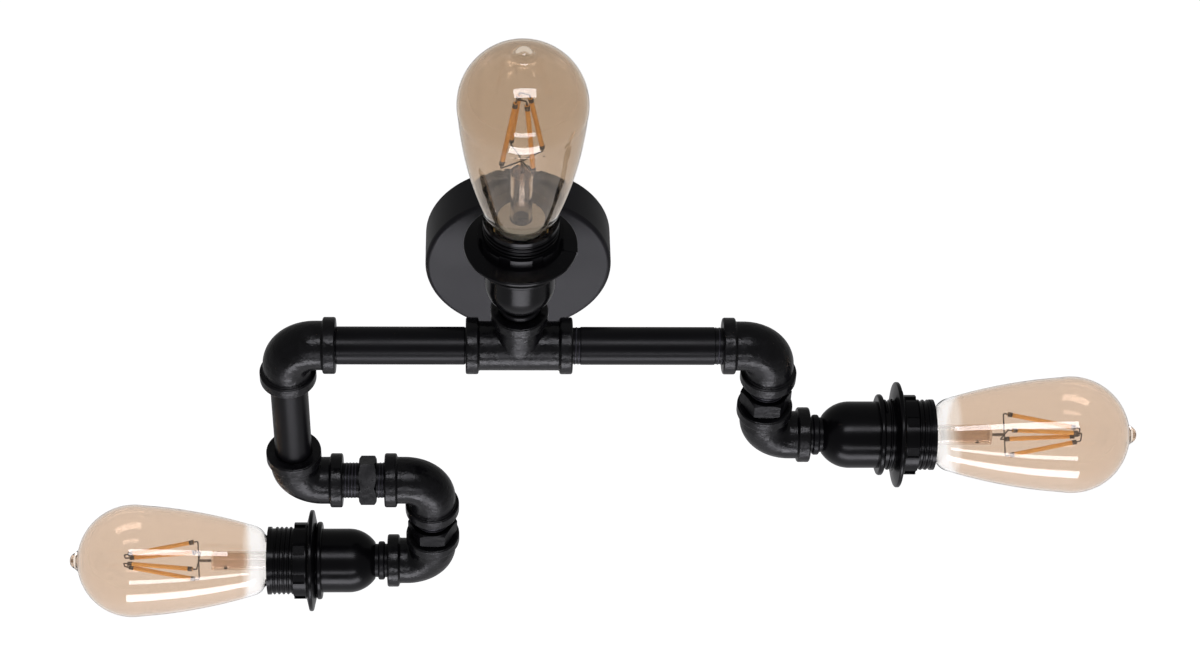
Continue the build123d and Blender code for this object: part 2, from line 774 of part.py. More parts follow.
# Post on the stem with a spoke to each stick's foot, and links that join the tops in pairs
with BuildPart() as bulb_wires:
    hub = UP * (cage_foot - wire_lead)
    with BuildSketch(Plane.XY.offset(stem_top)):
        Circle(post_wire_od / 2)
    extrude(amount=cage_foot - wire_lead + wire_od / 2 - stem_top)
    for foot, top in stick_ends:
        bend_point = foot - (top - foot).normalized() * wire_lead
        with BuildLine() as spoke:
            FilletPolyline(hub, bend_point, foot, radius=wire_bend)
        with BuildSketch(Plane(hub, z_dir=bend_point - hub)) as spoke_section:
            Circle(wire_od / 2)
        sweep(spoke_section.sketch, path=spoke.wire())
    for (foot_a, top_a), (foot_b, top_b) in zip(stick_ends[0::2], stick_ends[1::2]):
        lift_a = (top_a - foot_a).normalized() * wire_lead
        lift_b = (top_b - foot_b).normalized() * wire_lead
        with BuildLine() as link:
            FilletPolyline(top_a, top_a + lift_a, top_b + lift_b, top_b, radius=wire_bend)
        with BuildSketch(Plane(top_a, z_dir=lift_a)) as link_section:
            Circle(wire_od / 2)
        sweep(link_section.sketch, path=link.wire())

# The same lamp on each of the three mouths
for lamp in lamps:
    stand = Plane(lamp.mouth, z_dir=lamp.along)
    save(holder_bush, f"{lamp.name}_holder_bush", stand)
    save(holder_cap, f"{lamp.name}_holder_cap", stand)
    save(holder_skirt, f"{lamp.name}_holder_skirt", stand)
    save(holder_insert, f"{lamp.name}_holder_insert", stand)
    save(holder_contacts, f"{lamp.name}_holder_contacts", stand)
    save(shade_ring, f"{lamp.name}_shade_ring", stand.offset(lamp.ring_start))
    save(bulb_base, f"{lamp.name}_bulb_base", stand)
    save(bulb_contact, f"{lamp.name}_bulb_contact", stand)
    save(bulb_glass, f"{lamp.name}_bulb_glass", stand)
    save(bulb_filaments, f"{lamp.name}_bulb_filaments", stand)
    save(bulb_wires, f"{lamp.name}_bulb_wires", stand)
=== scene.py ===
# %% [markdown]
# # An industrial wall light
#
# This light is made of black pipe: a round canopy on the wall, a short stem, a four-way tee, and two arms
# of elbows and nipples. Three lampholders carry pear-shaped amber bulbs. The solids come in as a fixed
# frame, so this lesson adds what a solid model lacks: camera, light, finishes, screw threads and the small
# pieces inside the bulbs. Every length below is in metres.

# %% Load the solid model
import json
import math
import bpy
from mathutils import Matrix, Vector


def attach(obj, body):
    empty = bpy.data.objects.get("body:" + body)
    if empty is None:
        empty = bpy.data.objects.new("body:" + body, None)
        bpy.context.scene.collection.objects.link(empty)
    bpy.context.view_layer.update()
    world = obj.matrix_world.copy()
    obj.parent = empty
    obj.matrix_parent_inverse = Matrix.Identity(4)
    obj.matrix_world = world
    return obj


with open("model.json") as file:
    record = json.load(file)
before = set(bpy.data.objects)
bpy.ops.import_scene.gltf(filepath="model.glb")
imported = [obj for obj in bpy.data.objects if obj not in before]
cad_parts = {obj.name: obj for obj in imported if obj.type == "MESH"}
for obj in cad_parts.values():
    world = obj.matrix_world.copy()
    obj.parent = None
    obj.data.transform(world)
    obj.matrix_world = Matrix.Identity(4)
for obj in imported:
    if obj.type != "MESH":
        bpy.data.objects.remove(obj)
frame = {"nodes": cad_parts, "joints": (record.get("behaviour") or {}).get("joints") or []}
nodes = frame["nodes"]
joints = {joint["name"]: joint for joint in frame["joints"]}
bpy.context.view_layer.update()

# %% [markdown]
# ## Camera
#
# The photograph looks down on the light from about 47 degrees, a little from its left, with a long lens. A
# camera matrix can be written from three directions: right, up and back towards the camera. Building it that
# way keeps the small roll of the photograph, which aiming a camera at a point would lose.

# %% Camera at the photograph's place
photo_width_px, focal_px = 1200, 2833.0
camera_elevation, camera_azimuth, camera_roll = (math.radians(angle) for angle in (47.33, -3.55, 2.72))
camera_distance = 1.4776
camera_target = Vector((0.04202, -0.08178, 0.01712))

back = Vector((
    math.sin(camera_azimuth) * math.cos(camera_elevation),
    -math.cos(camera_azimuth) * math.cos(camera_elevation),
    math.sin(camera_elevation),
))
level_right = Vector((math.cos(camera_azimuth), math.sin(camera_azimuth), 0))
level_up = back.cross(level_right)
right = level_right * math.cos(camera_roll) + level_up * math.sin(camera_roll)
up = level_up * math.cos(camera_roll) - level_right * math.sin(camera_roll)

camera_data = bpy.data.cameras.new("camera")
camera_data.sensor_width = 36.0
camera_data.lens = focal_px / photo_width_px * camera_data.sensor_width
camera = bpy.data.objects.new("camera", camera_data)
camera.matrix_world = Matrix.Translation(camera_target + back * camera_distance) @ Matrix(
    (right, up, back)
).transposed().to_4x4()
bpy.context.scene.collection.objects.link(camera)
bpy.context.scene.camera = camera
bpy.context.scene.view_settings.view_transform = "Standard"
print("camera at", tuple(round(value, 3) for value in camera.location), "lens", round(camera_data.lens, 1))

# %% [markdown]
# ## Studio
#
# The background of the photograph is plain white, while the pipes stay almost black. A white world would
# wash them out, so how bright the world is depends on the ray that meets it: white where it is seen directly
# or through glass, a dim grey in reflections, and dimmer still as a light. The floor glows in the same way.
# Three long soft lamps, high, level and low in front, give the pale streaks along the pipes and the bulbs.


# %% White world
def strength_by_ray(tree, seen, reflected, other):
    """Strength for rays that see a surface directly or through glass, reflect it, or only take its light."""
    path = tree.nodes.new("ShaderNodeLightPath")
    direct = tree.nodes.new("ShaderNodeMath")
    direct.operation = "MAXIMUM"
    tree.links.new(path.outputs["Is Camera Ray"], direct.inputs[0])
    tree.links.new(path.outputs["Is Transmission Ray"], direct.inputs[1])
    mirrored = tree.nodes.new("ShaderNodeMath")
    mirrored.operation = "MULTIPLY_ADD"
    mirrored.inputs[1].default_value = reflected - other
    mirrored.inputs[2].default_value = other
    tree.links.new(path.outputs["Is Glossy Ray"], mirrored.inputs[0])
    strength = tree.nodes.new("ShaderNodeMath")
    strength.operation = "MULTIPLY_ADD"
    strength.inputs[1].default_value = seen - other
    tree.links.new(direct.outputs[0], strength.inputs[0])
    tree.links.new(mirrored.outputs[0], strength.inputs[2])
    return strength.outputs[0]


world = bpy.data.worlds.new("studio")
bpy.context.scene.world = world
world.use_nodes = True
world_tree = world.node_tree
background = world_tree.nodes["Background"]
background.inputs["Color"].default_value = (1.0, 1.0, 1.0, 1.0)
world_strength = strength_by_ray(world_tree, seen=1.0, reflected=0.27, other=0.12)
world_tree.links.new(world_strength, background.inputs["Strength"])
print("world:", world.name)

# %% Pale floor
floor_height, floor_reach = -0.95, 6.0
floor_grey, floor_rough = 0.82, 0.9
floor_corners = [(x * floor_reach, y * floor_reach, 0) for x, y in ((-1, -1), (1, -1), (1, 1), (-1, 1))]
floor_mesh = bpy.data.meshes.new("floor")
floor_mesh.from_pydata(floor_corners, [], [(0, 1, 2, 3)])
floor = bpy.data.objects.new("floor", floor_mesh)
floor.location.z = floor_height
bpy.context.scene.collection.objects.link(floor)
floor_finish = bpy.data.materials.new("pale_floor")
floor_finish.use_nodes = True
floor_shader = floor_finish.node_tree.nodes["Principled BSDF"]
floor_shader.inputs["Base Color"].default_value = (floor_grey, floor_grey, floor_grey, 1)
floor_shader.inputs["Roughness"].default_value = floor_rough
floor_shader.inputs["Emission Color"].default_value = (1, 1, 1, 1)
floor_glow = strength_by_ray(floor_finish.node_tree, seen=0.86, reflected=0.2, other=0.0)
floor_finish.node_tree.links.new(floor_glow, floor_shader.inputs["Emission Strength"])
floor_mesh.materials.append(floor_finish)
print("floor at height", floor_height)


# %% Soft lamps
def softbox(name, place, width, height, watts):
    """Rectangular lamp at a place, turned towards the middle of the light."""
    data = bpy.data.lights.new(name, "AREA")
    data.shape = "RECTANGLE"
    data.size = width
    data.size_y = height
    data.energy = watts
    data.color = lamp_colour
    lamp = bpy.data.objects.new(name, data)
    lamp.location = place
    lamp.rotation_euler = (middle_of_light - Vector(place)).to_track_quat("-Z", "Y").to_euler()
    bpy.context.scene.collection.objects.link(lamp)


middle_of_light = Vector((0.03, -0.08, -0.03))
lamp_colour = (0.94, 0.93, 1.0)
softbox("high_box", place=(0.05, -0.56, 1.14), width=0.74, height=0.30, watts=7.0)
softbox("level_box", place=(0.05, -1.25, -0.03), width=0.70, height=0.17, watts=3.4)
softbox("low_box", place=(0.05, -1.06, -0.76), width=0.95, height=0.38, watts=11.0)

# %% [markdown]
# ## Shared effects
#
# Several finishes share an effect: paint over a cast or drawn skin has grain and slow changes of gloss, and
# the bulbs change colour along the axis of their lamp. Each effect is a node group with named inputs, so a
# material only gives it sizes and colours.


# %% Group: grain of a painted skin
def new_group(name, inputs, outputs):
    """Empty shader group with named sockets; returns the group and its two end nodes."""
    group = bpy.data.node_groups.new(name, "ShaderNodeTree")
    for socket_name, kind, value in inputs:
        socket = group.interface.new_socket(socket_name, in_out="INPUT", socket_type=kind)
        socket.default_value = value
    for socket_name, kind in outputs:
        group.interface.new_socket(socket_name, in_out="OUTPUT", socket_type=kind)
    return group, group.nodes.new("NodeGroupInput"), group.nodes.new("NodeGroupOutput")


skin, skin_in, skin_out = new_group(
    "painted_skin",
    [
        ("Grain Size", "NodeSocketFloat", 0.0008), ("Patch Size", "NodeSocketFloat", 0.02),
        ("Dark", "NodeSocketColor", (0.01, 0.01, 0.01, 1)),
        ("Pale", "NodeSocketColor", (0.03, 0.03, 0.03, 1)),
        ("Least Rough", "NodeSocketFloat", 0.3), ("Most Rough", "NodeSocketFloat", 0.5),
    ],
    [("Color", "NodeSocketColor"), ("Roughness", "NodeSocketFloat"), ("Height", "NodeSocketFloat")],
)
place_on_object = skin.nodes.new("ShaderNodeTexCoord")
print("sockets of", skin.name, ":", [item.name for item in skin.interface.items_tree])

# %% Noise for the grain and the patches
grain_detail, patch_detail = 3.0, 5.0
noise_low, noise_high = 0.3, 0.7


def noise_of_size(group, size_socket, coordinate, detail):
    """Noise whose blotches have about the size given in metres."""
    per_metre = group.nodes.new("ShaderNodeMath")
    per_metre.operation = "DIVIDE"
    per_metre.inputs[0].default_value = 1.0
    group.links.new(size_socket, per_metre.inputs[1])
    noise = group.nodes.new("ShaderNodeTexNoise")
    noise.inputs["Detail"].default_value = detail
    group.links.new(per_metre.outputs[0], noise.inputs["Scale"])
    group.links.new(coordinate, noise.inputs["Vector"])
    return noise


grain = noise_of_size(skin, skin_in.outputs["Grain Size"], place_on_object.outputs["Object"], grain_detail)
patches = noise_of_size(skin, skin_in.outputs["Patch Size"], place_on_object.outputs["Object"], patch_detail)
tint = skin.nodes.new("ShaderNodeMix")
tint.data_type = "RGBA"
skin.links.new(patches.outputs["Fac"], tint.inputs["Factor"])
skin.links.new(skin_in.outputs["Dark"], tint.inputs["A"])
skin.links.new(skin_in.outputs["Pale"], tint.inputs["B"])
skin.links.new(tint.outputs["Result"], skin_out.inputs["Color"])
gloss = skin.nodes.new("ShaderNodeMapRange")
gloss.inputs["From Min"].default_value = noise_low
gloss.inputs["From Max"].default_value = noise_high
skin.links.new(patches.outputs["Fac"], gloss.inputs["Value"])
skin.links.new(skin_in.outputs["Least Rough"], gloss.inputs["To Min"])
skin.links.new(skin_in.outputs["Most Rough"], gloss.inputs["To Max"])
skin.links.new(gloss.outputs["Result"], skin_out.inputs["Roughness"])
skin.links.new(grain.outputs["Fac"], skin_out.inputs["Height"])
print("group:", skin.name, "with", len(skin.nodes), "nodes")

# %% Group: distance along a lamp's axis
along_lamp, along_in, along_out = new_group(
    "along_lamp",
    [
        ("Mouth", "NodeSocketVector", (0, 0, 0)), ("Axis", "NodeSocketVector", (0, 0, 1)),
        ("Fade Start", "NodeSocketFloat", 0.07), ("Fade End", "NodeSocketFloat", 0.09),
        ("Near", "NodeSocketColor", (1, 1, 1, 1)), ("Far", "NodeSocketColor", (1, 0.6, 0.3, 1)),
    ],
    [("Color", "NodeSocketColor")],
)
lamp_place = along_lamp.nodes.new("ShaderNodeTexCoord")
from_mouth = along_lamp.nodes.new("ShaderNodeVectorMath")
from_mouth.operation = "SUBTRACT"
along_lamp.links.new(lamp_place.outputs["Object"], from_mouth.inputs[0])
along_lamp.links.new(along_in.outputs["Mouth"], from_mouth.inputs[1])
reach = along_lamp.nodes.new("ShaderNodeVectorMath")
reach.operation = "DOT_PRODUCT"
along_lamp.links.new(from_mouth.outputs["Vector"], reach.inputs[0])
along_lamp.links.new(along_in.outputs["Axis"], reach.inputs[1])
fade = along_lamp.nodes.new("ShaderNodeMapRange")
fade.interpolation_type = "SMOOTHSTEP"
along_lamp.links.new(reach.outputs["Value"], fade.inputs["Value"])
along_lamp.links.new(along_in.outputs["Fade Start"], fade.inputs["From Min"])
along_lamp.links.new(along_in.outputs["Fade End"], fade.inputs["From Max"])
two_tone = along_lamp.nodes.new("ShaderNodeMix")
two_tone.data_type = "RGBA"
along_lamp.links.new(fade.outputs["Result"], two_tone.inputs["Factor"])
along_lamp.links.new(along_in.outputs["Near"], two_tone.inputs["A"])
along_lamp.links.new(along_in.outputs["Far"], two_tone.inputs["B"])
along_lamp.links.new(two_tone.outputs["Result"], along_out.inputs["Color"])
print("group:", along_lamp.name, "with", len(along_lamp.nodes), "nodes")

# %% [markdown]
# ## Finishes with a skin
#
# Drawn pipe takes paint smoothly, cast fittings keep a sandy skin under it, and the lampholders are moulded,
# with a higher gloss. Metal, ceramic and plastic have a grain and slow changes of gloss as well. So one
# function makes all of them from the painted-skin group, and each finish only gives its own values.


# %% Material on the painted-skin group
relief_strength = 0.6


def skin_finish(name, grain_size, patch_size, dark, pale, rough, bump, specular, metallic=0.0):
    """Material on the painted-skin group, from its least to its most rough value."""
    material = bpy.data.materials.new(name)
    material.use_nodes = True
    tree = material.node_tree
    shader = tree.nodes["Principled BSDF"]
    surface = tree.nodes.new("ShaderNodeGroup")
    surface.node_tree = skin
    surface.inputs["Grain Size"].default_value = grain_size
    surface.inputs["Patch Size"].default_value = patch_size
    surface.inputs["Dark"].default_value = (*dark, 1)
    surface.inputs["Pale"].default_value = (*pale, 1)
    surface.inputs["Least Rough"].default_value = rough[0]
    surface.inputs["Most Rough"].default_value = rough[1]
    tree.links.new(surface.outputs["Color"], shader.inputs["Base Color"])
    tree.links.new(surface.outputs["Roughness"], shader.inputs["Roughness"])
    relief = tree.nodes.new("ShaderNodeBump")
    relief.inputs["Distance"].default_value = bump
    relief.inputs["Strength"].default_value = relief_strength
    tree.links.new(surface.outputs["Height"], relief.inputs["Height"])
    tree.links.new(relief.outputs["Normal"], shader.inputs["Normal"])
    shader.inputs["Specular IOR Level"].default_value = specular
    shader.inputs["Metallic"].default_value = metallic
    return material


# %% Blacks
def grey(value):
    """Nearly neutral dark colour, slightly blue as the paint is."""
    return (value, value * 0.96, value * 1.2)


pipe_black = skin_finish(
    "pipe_black", grain_size=0.0012, patch_size=0.03, dark=grey(0.002), pale=grey(0.005),
    rough=(0.26, 0.36), bump=0.00004, specular=0.115,
)
cast_black = skin_finish(
    "cast_black", grain_size=0.0030, patch_size=0.007, dark=grey(0.0008), pale=grey(0.005),
    rough=(0.16, 0.38), bump=0.0005, specular=0.2,
)
nipple_black = skin_finish(
    "nipple_black", grain_size=0.0030, patch_size=0.009, dark=grey(0.001), pale=grey(0.004),
    rough=(0.2, 0.42), bump=0.0004, specular=0.1,
)
canopy_black = skin_finish(
    "canopy_black", grain_size=0.0006, patch_size=0.05, dark=grey(0.006), pale=grey(0.011),
    rough=(0.36, 0.46), bump=0.00003, specular=0.18,
)
moulded_black = skin_finish(
    "moulded_black", grain_size=0.002, patch_size=0.02, dark=grey(0.0012), pale=grey(0.003),
    rough=(0.16, 0.26), bump=0.00002, specular=0.12,
)
flex_black = skin_finish(
    "flex_black", grain_size=0.0006, patch_size=0.01, dark=grey(0.008), pale=grey(0.016),
    rough=(0.5, 0.7), bump=0.00003, specular=0.3,
)
print("blacks:", [item.name for item in bpy.data.materials if item.name.endswith("_black")])

# %% Bare metals
thread_worn = skin_finish(
    "thread_worn", grain_size=0.0006, patch_size=0.004, dark=grey(0.012), pale=grey(0.05),
    rough=(0.25, 0.4), bump=0.00004, specular=0.4, metallic=0.5,
)
zinc = skin_finish(
    "zinc_plate", grain_size=0.0005, patch_size=0.01, dark=(0.52, 0.53, 0.54), pale=(0.64, 0.64, 0.63),
    rough=(0.3, 0.5), bump=0.00003, specular=0.5, metallic=1.0,
)
brass = skin_finish(
    "contact_brass", grain_size=0.0004, patch_size=0.008, dark=(0.62, 0.43, 0.18), pale=(0.76, 0.56, 0.27),
    rough=(0.2, 0.4), bump=0.00002, specular=0.5, metallic=1.0,
)
bulb_metal = skin_finish(
    "bulb_metal", grain_size=0.0005, patch_size=0.01, dark=(0.62, 0.61, 0.58), pale=(0.75, 0.74, 0.71),
    rough=(0.2, 0.4), bump=0.00002, specular=0.5, metallic=1.0,
)
wire_metal = skin_finish(
    "wire_metal", grain_size=0.0004, patch_size=0.006, dark=(0.10, 0.09, 0.08), pale=(0.2, 0.18, 0.16),
    rough=(0.35, 0.55), bump=0.00002, specular=0.5, metallic=1.0,
)
print("metals:", [item.name for item in (thread_worn, zinc, brass, bulb_metal, wire_metal)])

# %% Ceramic, plastic and filament
ceramic = skin_finish(
    "ceramic_white", grain_size=0.001, patch_size=0.02, dark=(0.78, 0.77, 0.73), pale=(0.86, 0.85, 0.82),
    rough=(0.15, 0.25), bump=0.00002, specular=0.5,
)
block_cream = skin_finish(
    "block_cream", grain_size=0.0008, patch_size=0.02, dark=(0.70, 0.67, 0.58), pale=(0.78, 0.75, 0.67),
    rough=(0.4, 0.55), bump=0.00002, specular=0.4,
)
cup_cream = skin_finish(
    "cup_cream", grain_size=0.0006, patch_size=0.003, dark=(0.74, 0.71, 0.60), pale=(0.94, 0.91, 0.82),
    rough=(0.4, 0.55), bump=0.00002, specular=0.4,
)
filament_coat = skin_finish(
    "filament_coat", grain_size=0.0012, patch_size=0.004, dark=(0.90, 0.42, 0.09), pale=(0.98, 0.62, 0.20),
    rough=(0.35, 0.5), bump=0.00008, specular=0.4,
)
print("pale finishes:", [item.name for item in (ceramic, block_cream, cup_cream, filament_coat)])


# %% Give the finishes to the solids
def give(material, *endings):
    """Put a finish on every solid of the frame whose name has one of these endings."""
    for name, solid in nodes.items():
        if name.endswith(endings):
            for slot in solid.material_slots:
                slot.material = material


give(canopy_black, "canopy", "canopy_side_screws")
give(zinc, "wall_bracket", "stem_lock_nut")
give(block_cream, "terminal_block")
give(pipe_black, "_pipe", "_holder_bush")
give(cast_black, "cross_tee", "_elbow")
give(nipple_black, "_nipple")
give(moulded_black, "_holder_cap", "_holder_skirt", "_shade_ring")
give(ceramic, "_holder_insert")
give(brass, "_holder_contacts")
give(bulb_metal, "_bulb_base")
give(filament_coat, "_bulb_filaments")
give(wire_metal, "_bulb_wires")
give(flex_black, "_flex")
print("finished solids:", len([name for name in nodes if not name.endswith(("_glass", "_bulb_contact"))]))

# %% [markdown]
# ## Amber bulbs
#
# The glass is coated amber inside, but its first stretch out of the holder is left clear. The glass has real
# walls, so one refracting shader is enough, and its colour fades along each lamp's axis. The contact under
# the screw base is black insulator with a pip of solder, and the two meet in the same kind of fade, a fifth
# of a millimetre long.


# %% Where the lamps are
class Lamp:
    """Where a lamp starts, the way it points, its zero angle, and the bodies that carry its pieces."""

    def __init__(self, name, zero_angle, holder_body, glass_tint_and_shade):
        bulb_turn = joints[f"{name}_bulb_turn"]
        self.name = name
        self.mouth = Vector(bulb_turn["pos_m"])
        self.axis = Vector(bulb_turn["axis"])
        self.zero_angle = Vector(zero_angle)
        self.holder_body = holder_body
        self.bulb_body = f"{name}_bulb"
        self.glass_tint_and_shade = glass_tint_and_shade

    def at(self, distance):
        """Matrix that stands a piece made along Z on this lamp's axis."""
        columns = (self.zero_angle, self.axis.cross(self.zero_angle), self.axis)
        turn = Matrix(columns).transposed().to_4x4()
        return Matrix.Translation(self.mouth + self.axis * distance) @ turn


# The three bulbs are alike. The side amber is the glass's own colour; the middle bulb's darker amber is
# painted shade on the same glass.
side_amber = (0.735, 0.633, 0.545)
shaded_middle_amber = (0.59, 0.493, 0.397)
lamps = [
    Lamp("left", zero_angle=(0, 0, -1), holder_body="left_lamp", glass_tint_and_shade=side_amber),
    Lamp("middle", zero_angle=(1, 0, 0), holder_body="base", glass_tint_and_shade=shaded_middle_amber),
    Lamp("right", zero_angle=(0, 0, 1), holder_body="right_lamp", glass_tint_and_shade=side_amber),
]
print("lamp mouths:", {lamp.name: tuple(round(value, 4) for value in lamp.mouth) for lamp in lamps})

# %% Finishes that follow a lamp's axis
clear_glass = (0.89, 0.88, 0.87)
glass_ior = 1.46
coat_fade = (0.0785, 0.0825)
solder = (0.55, 0.55, 0.54)
insulator = (0.012, 0.012, 0.012)
contact_rough = 0.3
solder_fade = (0.0379, 0.0381)


def axis_finish(name, lamp, fade_ends, near, far):
    """Material whose colour fades from near to far along a lamp's axis, and its shader."""
    material = bpy.data.materials.new(name)
    material.use_nodes = True
    tree = material.node_tree
    shader = tree.nodes["Principled BSDF"]
    change = tree.nodes.new("ShaderNodeGroup")
    change.node_tree = along_lamp
    change.inputs["Mouth"].default_value = lamp.mouth
    change.inputs["Axis"].default_value = lamp.axis
    change.inputs["Fade Start"].default_value = fade_ends[0]
    change.inputs["Fade End"].default_value = fade_ends[1]
    change.inputs["Near"].default_value = (*near, 1)
    change.inputs["Far"].default_value = (*far, 1)
    tree.links.new(change.outputs["Color"], shader.inputs["Base Color"])
    return material, shader


for lamp in lamps:
    glass, shader = axis_finish(f"{lamp.name}_amber_glass", lamp, coat_fade, clear_glass, lamp.glass_tint_and_shade)
    shader.inputs["Transmission Weight"].default_value = 1.0
    shader.inputs["Roughness"].default_value = 0.0
    shader.inputs["IOR"].default_value = glass_ior
    give(glass, f"{lamp.name}_bulb_glass")
    contact, shader = axis_finish(f"{lamp.name}_bulb_contact", lamp, solder_fade, solder, insulator)
    shader.inputs["Roughness"].default_value = contact_rough
    give(contact, f"{lamp.name}_bulb_contact")
print("bulb finishes:", [item.name for item in bpy.data.materials if item.name.endswith("_glass")])

# %% [markdown]
# ## Screw threads
#
# A thread is a ridge that follows a helix, so Geometry Nodes make it from a spiral curve swept with a small
# round profile. One tree serves pipe threads, the lampholders' outer threads and the bulbs' screw bases, and
# only its sizes change. The result becomes a plain mesh, stood in place on its axis.


# %% Tree: ridge of a thread
def new_tree(name, sizes):
    """Geometry tree with named sizes, a material input and one geometry output."""
    tree = bpy.data.node_groups.new(name, "GeometryNodeTree")
    for size_name, kind in sizes:
        tree.interface.new_socket(size_name, in_out="INPUT", socket_type=kind)
    tree.interface.new_socket("Finish", in_out="INPUT", socket_type="NodeSocketMaterial")
    tree.interface.new_socket("Geometry", in_out="OUTPUT", socket_type="NodeSocketGeometry")
    return tree, tree.nodes.new("NodeGroupInput"), tree.nodes.new("NodeGroupOutput")


def close_tree(tree, sizes_in, geometry, output):
    """Realise the instances, set the finish and lead the geometry out of a tree."""
    realised = tree.nodes.new("GeometryNodeRealizeInstances")
    tree.links.new(geometry, realised.inputs["Geometry"])
    finished = tree.nodes.new("GeometryNodeSetMaterial")
    tree.links.new(realised.outputs["Geometry"], finished.inputs["Geometry"])
    tree.links.new(sizes_in.outputs["Finish"], finished.inputs["Material"])
    tree.links.new(finished.outputs["Geometry"], output.inputs["Geometry"])


thread_tree, thread_in, thread_out = new_tree("thread_ridge", [
    ("Radius", "NodeSocketFloat"), ("Length", "NodeSocketFloat"),
    ("Pitch", "NodeSocketFloat"), ("Ridge", "NodeSocketFloat"),
])
helix_steps = 48
ridge_sides = 8
turns = thread_tree.nodes.new("ShaderNodeMath")
turns.operation = "DIVIDE"
thread_tree.links.new(thread_in.outputs["Length"], turns.inputs[0])
thread_tree.links.new(thread_in.outputs["Pitch"], turns.inputs[1])
helix = thread_tree.nodes.new("GeometryNodeCurveSpiral")
helix.inputs["Resolution"].default_value = helix_steps
thread_tree.links.new(turns.outputs[0], helix.inputs["Rotations"])
thread_tree.links.new(thread_in.outputs["Radius"], helix.inputs["Start Radius"])
thread_tree.links.new(thread_in.outputs["Radius"], helix.inputs["End Radius"])
thread_tree.links.new(thread_in.outputs["Length"], helix.inputs["Height"])
ridge = thread_tree.nodes.new("GeometryNodeCurvePrimitiveCircle")
ridge.inputs["Resolution"].default_value = ridge_sides
thread_tree.links.new(thread_in.outputs["Ridge"], ridge.inputs["Radius"])
swept = thread_tree.nodes.new("GeometryNodeCurveToMesh")
swept.inputs["Fill Caps"].default_value = True
thread_tree.links.new(helix.outputs["Curve"], swept.inputs["Curve"])
thread_tree.links.new(ridge.outputs["Curve"], swept.inputs["Profile Curve"])
close_tree(thread_tree, thread_in, swept.outputs["Mesh"], thread_out)
print("tree:", thread_tree.name, "with", len(thread_tree.nodes), "nodes")


# %% Mesh from a tree
def from_tree(name, tree, place, body, slot, **sizes):
    """Run a geometry tree with its sizes, keep the result as a mesh and stand it in its place."""
    piece = bpy.data.objects.new(name, bpy.data.meshes.new(name))
    bpy.context.scene.collection.objects.link(piece)
    modifier = piece.modifiers.new("tree", "NODES")
    modifier.node_group = tree
    for item in tree.interface.items_tree:
        if item.in_out == "INPUT" and item.name in sizes:
            modifier[item.identifier] = sizes[item.name]
    evaluated = piece.evaluated_get(bpy.context.evaluated_depsgraph_get())
    mesh = bpy.data.meshes.new_from_object(evaluated)
    piece.modifiers.clear()
    piece.data = mesh
    mesh.transform(place)
    mesh.shade_smooth()
    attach(piece, body)


# %% Threads that show at the pipe ends and on the nipples
thread_radius = 0.0096
thread_crest = 0.00032
pipe_pitch = 0.0018
pipe_ridge = 0.0005
# The pipe work's own sizes, as the solids have them, tell where each thread starts.
stand_off = 0.082
tee_reach = 0.028
elbow_reach = 0.026
left_reach = 0.122
right_reach = 0.133
left_drop = 0.111
pipe_end = 0.004
long_neck = 0.009
short_neck = 0.0045
hex_width = 0.0095
run_mouth = elbow_reach - left_reach
run_hex_end = run_mouth + long_neck + hex_width
inner_corner = run_hex_end + short_neck + elbow_reach
left_side, right_side, down = (-1, 0, 0), (1, 0, 0), (0, 0, -1)


def pipe_thread(name, x, z, way, length, body):
    """Pipe thread on the bare length that starts at a mouth or a shoulder and runs one way."""
    way = Vector(way)
    first = Vector((x, -stand_off, z)) + way * pipe_ridge
    stand = Matrix.Translation(first) @ way.to_track_quat("Z", "Y").to_matrix().to_4x4()
    from_tree(
        name, thread_tree, stand, body, "pipe_black", Radius=thread_radius + thread_crest - pipe_ridge,
        Length=length - 2 * pipe_ridge, Pitch=pipe_pitch, Ridge=pipe_ridge, Finish=thread_worn,
    )


pipe_thread("right_pipe_tee_thread", tee_reach, 0, right_side, pipe_end, "right_arm")
pipe_thread("right_pipe_elbow_thread", right_reach - elbow_reach, 0, left_side, pipe_end, "right_arm")
pipe_thread("left_drop_pipe_thread", -left_reach, -elbow_reach, down, pipe_end, "left_arm")
pipe_thread("left_run_nipple_thread", run_mouth, -left_drop, right_side, long_neck, "left_arm")
pipe_thread("left_run_nipple_short_thread", run_hex_end, -left_drop, right_side, short_neck, "left_arm")
pipe_thread("left_lamp_nipple_thread", inner_corner, -left_drop - elbow_reach, down, long_neck, "left_arm")
pipe_thread("right_lamp_nipple_thread", right_reach, -elbow_reach, down, long_neck, "right_arm")

# %% Threads on the lampholders and the bulbs
holder_thread_start, base_thread_start = 0.0412, 0.0440
holder_thread = {"Radius": 0.0186, "Length": 0.0242, "Pitch": 0.0026, "Ridge": 0.00075}
base_thread = {"Radius": 0.0119, "Length": 0.0165, "Pitch": 0.003629, "Ridge": 0.0011}
for lamp in lamps:
    from_tree(
        f"{lamp.name}_holder_thread", thread_tree, lamp.at(holder_thread_start), lamp.holder_body,
        "holder_black", **holder_thread, Finish=moulded_black,
    )
    from_tree(
        f"{lamp.name}_bulb_thread", thread_tree, lamp.at(base_thread_start), lamp.bulb_body,
        "base_metal", **base_thread, Finish=bulb_metal,
    )

# %% [markdown]
# ## Metal ends of the filament sticks
#
# Each stick in a bulb ends in a small metal sleeve that its wire is welded to. The sticks stand on a ring
# and lean towards the axis, so a tree puts a short cylinder on each point of a circle and tilts it by that
# lean.

